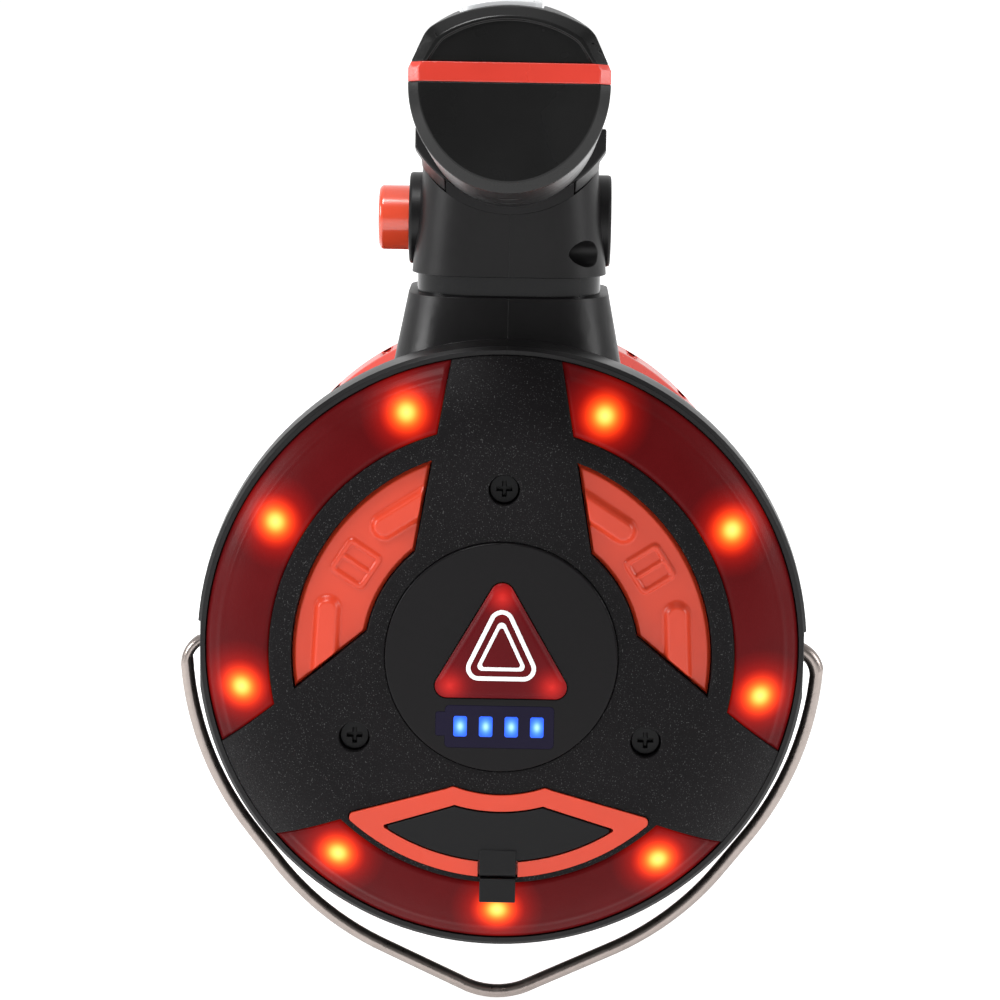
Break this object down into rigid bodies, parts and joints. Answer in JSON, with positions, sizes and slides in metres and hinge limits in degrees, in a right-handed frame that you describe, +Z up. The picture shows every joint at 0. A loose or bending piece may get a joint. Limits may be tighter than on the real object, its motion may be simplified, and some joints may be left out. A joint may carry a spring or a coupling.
{
  "type": "firefighter flashlight",
  "caption": "Round hand-held searchlight with a swinging grip, push lock, wire bail, rear beacon ring, warning button and covered charging sockets.",
  "frame": {"origin": "on the beam axis, in the plane of the front bezel's rim, where a push-on filter seats", "axes": "+Y along the beam, out of the lamp; +Z up towards the grip; +X to the right as seen from behind"},
  "size_m": [0.1263, 0.174, 0.1987],
  "materials": {
    "black_shell": "fine satin moulding",
    "cover_black": "fine spark grain",
    "panel_black": "smooth satin gloss",
    "gloss_black": "polished",
    "beacon_red": "moulded translucent",
    "button_red": "moulded translucent",
    "orange_rubber": "soft satin",
    "orange_plastic": "polished",
    "red_plastic": "satin gloss",
    "black_rubber": "soft satin",
    "smoked_window": "polished",
    "symbol_white": "printed",
    "amber_led": "clear dome",
    "blue_led": "clear",
    "wire_steel": "satin drawn",
    "fastener": "blackened",
    "spring_steel": "bright drawn",
    "clear_window": "polished",
    "mirror_cup": "vacuum metallised",
    "heat_metal": "cast, machined",
    "board_green": "solder mask",
    "nylon": "natural",
    "cell_wrap": "shrink wrap",
    "copper": "enamelled wire",
    "power_grey": "satin"
  },
  "bodies": {
    "head": {"housing_left": "black_shell", "housing_right": "black_shell", "neck_left": "black_shell", "neck_right": "black_shell", "neck_ring": "gloss_black", "rear_cover": "cover_black", "centre_panel": "panel_black", "warning_switch": "nylon", "battery_window": "smoked_window", "level_leds": "blue_led", "rear_board": "board_green", "beacon_lens_left": "beacon_red", "beacon_lens_right": "beacon_red", "beacon_lens_bottom": "beacon_red", "beacon_board": "board_green", "beacon_leds": "amber_led", "pad_left": "orange_rubber", "pad_right": "orange_rubber", "port_frame": "orange_rubber", "port_strap": "black_rubber", "port_panel": "black_shell", "usb_a_socket": "spring_steel", "micro_usb_socket": "spring_steel", "cover_screws": "fastener", "front_bezel": "red_plastic", "front_lens": "clear_window", "lens_gasket": "black_rubber", "lamp_sleeve": "black_shell", "reflector": "mirror_cup", "main_led": "amber_led", "heat_sink": "heat_metal", "battery_cells": "cell_wrap", "battery_holder": "black_shell", "driver_board": "board_green", "driver_coil": "copper", "bail_bushes": "nylon", "neck_screws": "fastener", "lock_collar": "black_shell", "lock_spring": "spring_steel", "pivot_cap": "black_shell", "pivot_sleeve": "spring_steel"},
    "grip": {"grip_hub": "black_shell", "grip_collar": "black_shell", "grip_lower": "black_shell", "grip_upper": "black_shell", "grip_band": "red_plastic", "tail_cap": "panel_black", "power_switch": "board_green", "grip_screws": "fastener", "switch_leads": "copper"},
    "power_button": {"power_button": "power_grey"},
    "lock_button": {"lock_button": "orange_plastic"},
    "bail": {"bail": "wire_steel"},
    "warning_button": {"warning_button": "button_red", "warning_symbol": "symbol_white"},
    "port_cover": {"port_cover": "black_rubber"}
  },
  "joints": [
    {"name": "grip_fold", "type": "hinge", "parent": "head", "child": "grip", "pos_m": [0, -0.07, 0.081], "axis": [-1, 0, 0], "range_deg": [0, 90]},
    {"name": "lock_push", "type": "slide", "parent": "head", "child": "lock_button", "axis": [1, 0, 0], "range_m": [0, 0.0025], "stiffness_N_per_m": 500, "springref_m": -0.002, "deforming": ["lock_spring"]},
    {"name": "power_push", "type": "slide", "parent": "grip", "child": "power_button", "axis": [0, -0.1045, -0.9945], "range_m": [0, 0.001], "stiffness_N_per_m": 1200, "springref_m": -0.001},
    {"name": "warning_push", "type": "slide", "parent": "head", "child": "warning_button", "axis": [0, 1, 0], "range_m": [0, 0.0008], "stiffness_N_per_m": 1200, "springref_m": -0.001},
    {"name": "bail_swing", "type": "hinge", "parent": "head", "child": "bail", "pos_m": [0, -0.098, 0], "axis": [-1, 0, 0], "range_deg": [-25, 150]},
    {"name": "port_flap", "type": "hinge", "parent": "head", "child": "port_cover", "pos_m": [0, -0.112, -0.0424], "axis": [1, 0, 0], "range_deg": [0, 110]}
  ]
}
